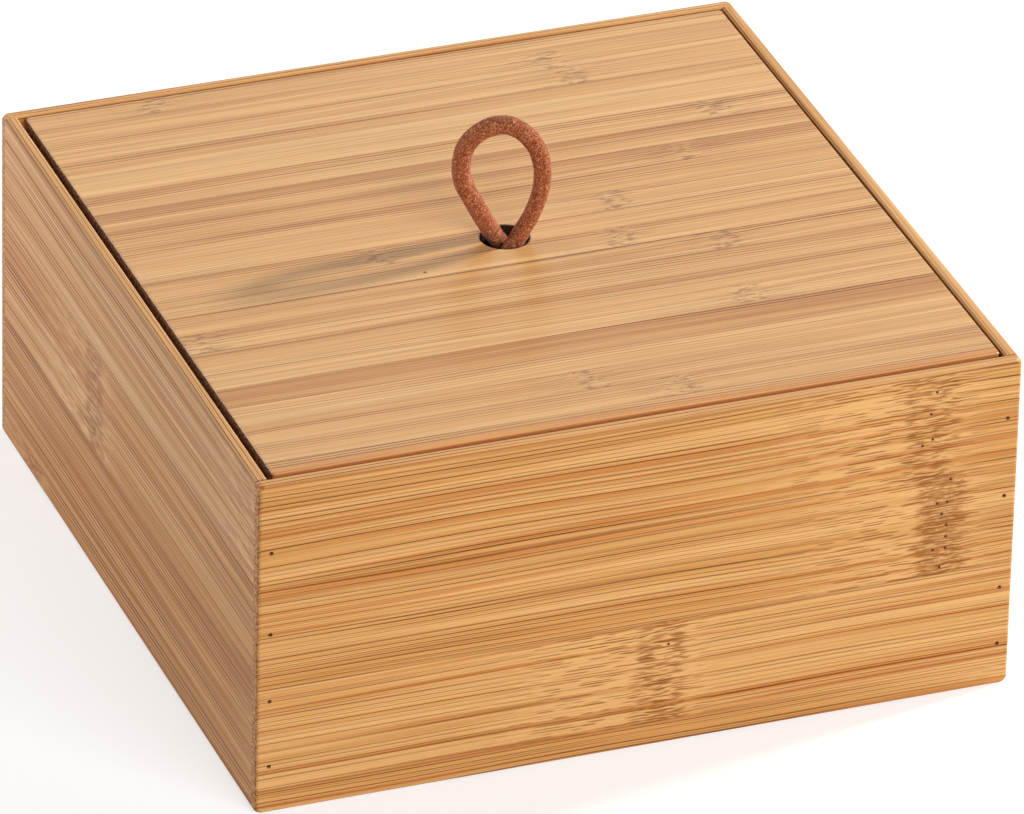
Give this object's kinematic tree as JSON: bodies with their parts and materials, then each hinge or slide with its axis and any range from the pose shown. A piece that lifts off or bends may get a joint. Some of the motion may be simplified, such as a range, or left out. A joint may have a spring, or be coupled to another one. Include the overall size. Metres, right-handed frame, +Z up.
{
  "type": "bamboo organizer box",
  "caption": "Square bamboo storage box of lapped and pinned boards, with a lift-off lid lying inside its rim and a leather cord loop that pulls the lid up.",
  "frame": {"origin": "middle of the base that the box stands on", "axes": "+X right, +Y to the back, +Z up; the front, with its visible pins, faces -Y"},
  "size_m": [0.15, 0.15, 0.0957],
  "materials": {
    "wall_bamboo": "satin oiled bamboo",
    "floor_bamboo": "satin bamboo",
    "lid_bamboo": "satin oiled bamboo",
    "pin_steel": "dull steel",
    "cord_leather": "raw suede-like leather"
  },
  "bodies": {
    "box": {"front_panel": "wall_bamboo", "back_panel": "wall_bamboo", "left_panel": "wall_bamboo", "right_panel": "wall_bamboo", "floor_panel": "floor_bamboo", "front_left_pins": "pin_steel", "front_right_pins": "pin_steel", "back_left_pins": "pin_steel", "back_right_pins": "pin_steel"},
    "lid": {"lid_panel": "lid_bamboo"},
    "knot": {"cord_knot": "cord_leather", "cord_legs": "cord_leather"},
    "loop": {"cord_loop": "cord_leather"}
  },
  "joints": [
    {"name": "lid_lift", "type": "slide", "parent": "box", "child": "lid", "axis": [0, 0, 1], "range_m": [0, 0.1]},
    {"name": "loop_swivel", "type": "hinge", "parent": "lid", "child": "knot", "pos_m": [0, -0.0008, 0.0648], "axis": [0, 0, 1], "continuous": true},
    {"name": "loop_fold", "type": "hinge", "parent": "knot", "child": "loop", "pos_m": [0, -0.0008, 0.0713], "axis": [0.9336, -0.3584, 0], "range_deg": [-60, 60], "stiffness_Nm_per_rad": 0.01, "deforming": ["cord_legs"]}
  ]
}
